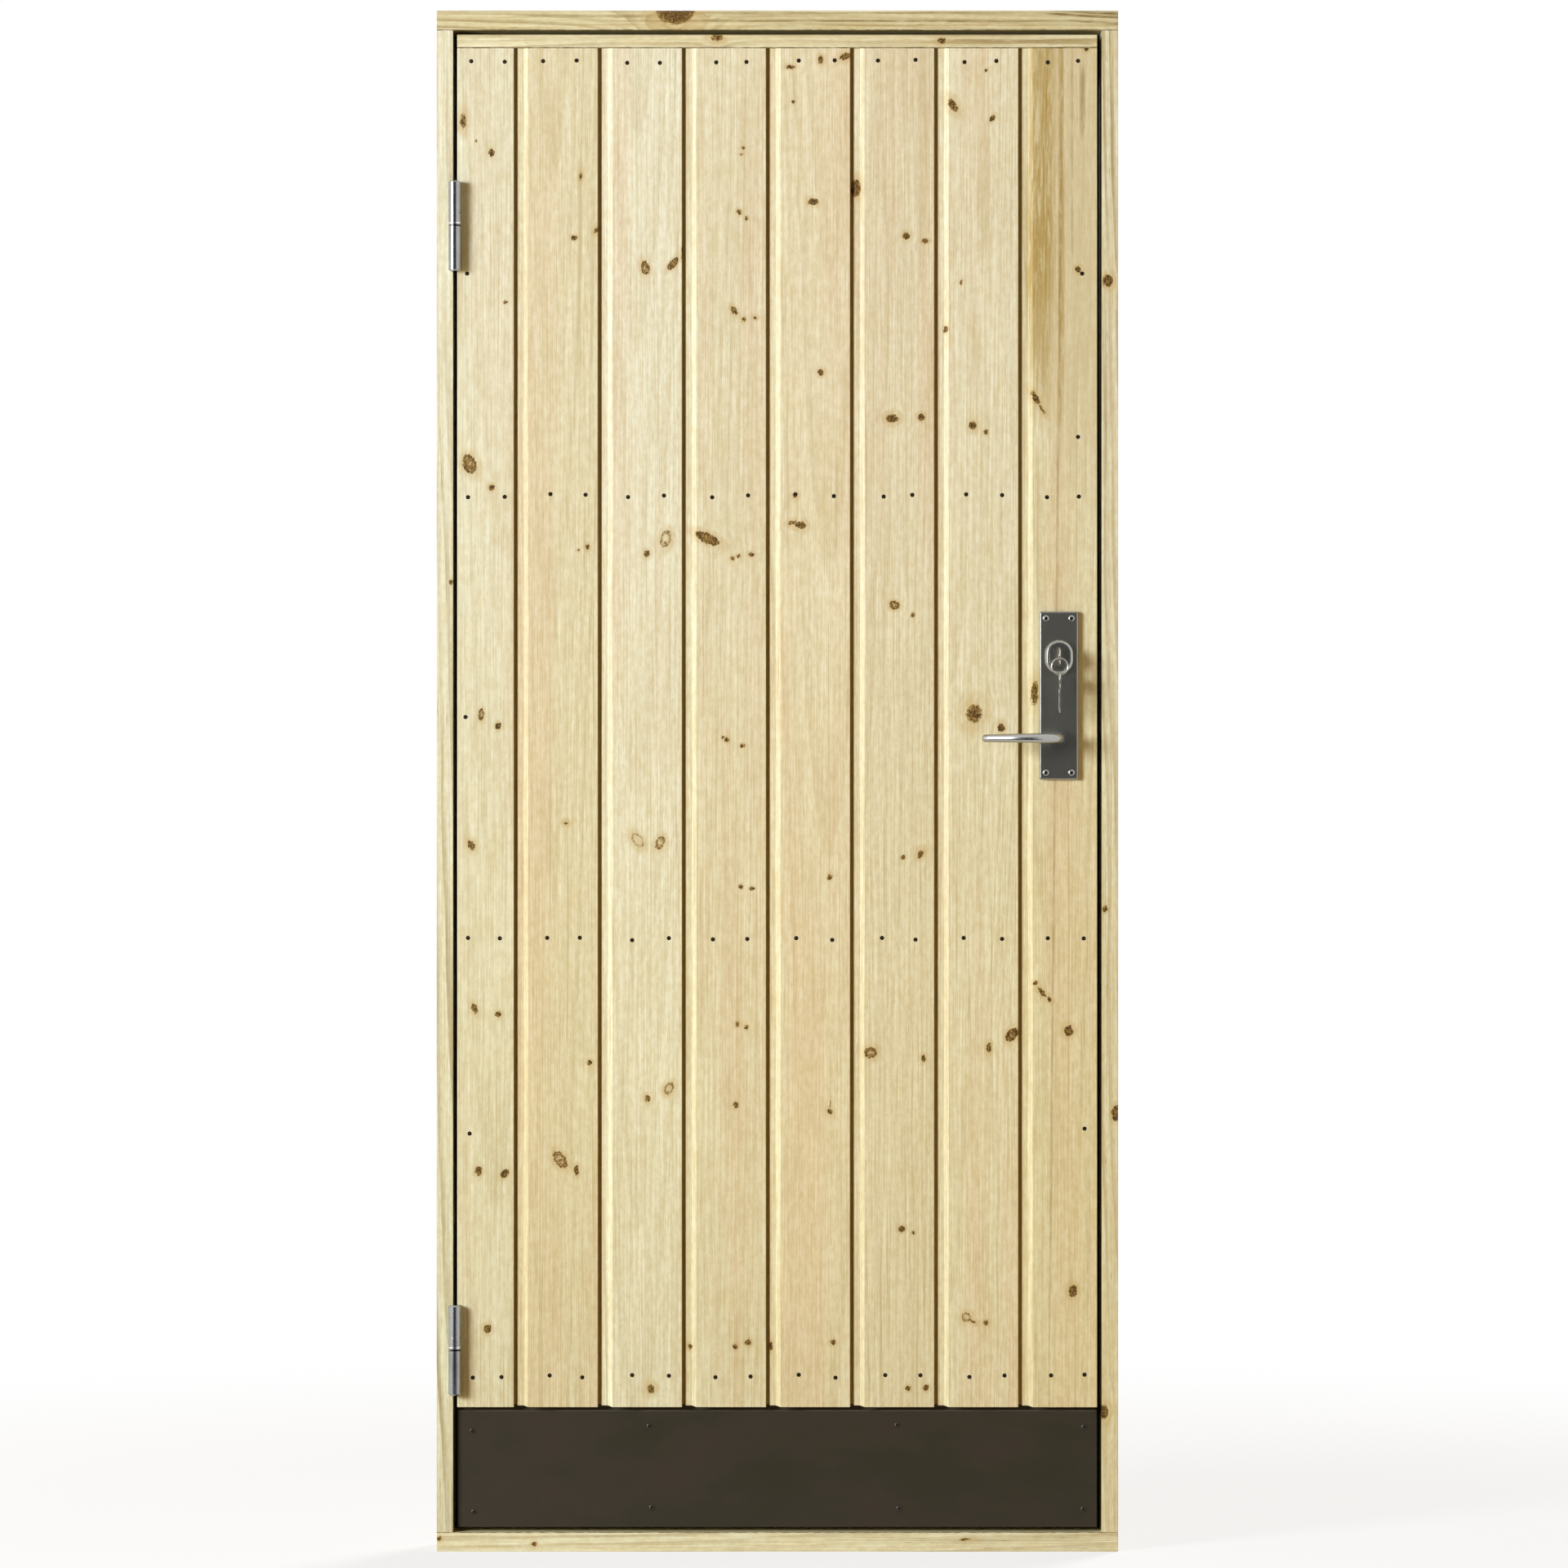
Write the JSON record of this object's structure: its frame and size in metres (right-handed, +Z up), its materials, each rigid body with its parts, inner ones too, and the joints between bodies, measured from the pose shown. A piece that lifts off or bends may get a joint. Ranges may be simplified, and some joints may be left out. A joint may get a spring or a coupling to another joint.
{
  "type": "shed door",
  "caption": "Outward-opening boarded timber door with a dark kick plate, in its rebated frame, with lift-off hinges, long lock plate, lever handle and keys.",
  "frame": {"origin": "middle of the sill's underside, halfway through the frame's depth", "axes": "-Y is the outside face that the picture shows, +X to the right seen from outside, +Z up"},
  "size_m": [0.88, 0.187, 1.99],
  "materials": {
    "frame_pine": "planed, untreated",
    "board_pine": "planed, untreated",
    "rail_pine": "planed, untreated",
    "dark_plywood": "film-faced, dark brown",
    "zinc_steel": "zinc plated",
    "stainless_steel": "satin",
    "nickel": "nickel plated"
  },
  "bodies": {
    "frame": {"left_jamb": "frame_pine", "right_jamb": "frame_pine", "head_jamb": "frame_pine", "sill": "frame_pine", "strike_plate": "zinc_steel", "upper_frame_hinge": "zinc_steel", "lower_frame_hinge": "zinc_steel"},
    "leaf": {"board_1": "board_pine", "board_2": "board_pine", "board_3": "board_pine", "board_4": "board_pine", "board_5": "board_pine", "board_6": "board_pine", "board_7": "board_pine", "board_8": "board_pine", "top_strip": "board_pine", "kick_plate": "dark_plywood", "hinge_stile": "rail_pine", "lock_stile": "rail_pine", "top_rail": "rail_pine", "upper_rail": "rail_pine", "lower_rail": "rail_pine", "bottom_rail": "rail_pine", "foot_rail": "rail_pine", "upper_leaf_hinge": "zinc_steel", "lower_leaf_hinge": "zinc_steel", "lock_case": "zinc_steel", "latch_bolt": "zinc_steel", "dead_bolt": "zinc_steel", "outer_plate": "stainless_steel", "inner_plate": "stainless_steel", "cylinder_ring": "stainless_steel", "cylinder": "stainless_steel", "thumb_turn": "stainless_steel", "key": "nickel"},
    "handle": {"outer_lever": "stainless_steel", "inner_lever": "stainless_steel", "spindle": "zinc_steel"},
    "hanging_keys": {"key_ring": "nickel", "spare_key": "nickel"}
  },
  "joints": [
    {"name": "door_swing", "type": "hinge", "parent": "frame", "child": "leaf", "pos_m": [-0.41625, -0.056, 0.986], "axis": [0, 0, -1], "range_deg": [0, 165]},
    {"name": "lever_turn", "type": "hinge", "parent": "leaf", "child": "handle", "pos_m": [0.363, -0.023, 1.05], "axis": [0, -1, 0], "range_deg": [0, 45], "stiffness_Nm_per_rad": 1.5, "springref_deg": -28.65},
    {"name": "keys_swing", "type": "hinge", "parent": "leaf", "child": "hanging_keys", "pos_m": [0.363, -0.083, 1.1528], "axis": [-1, 0, 0], "range_deg": [-12, 40]}
  ]
}
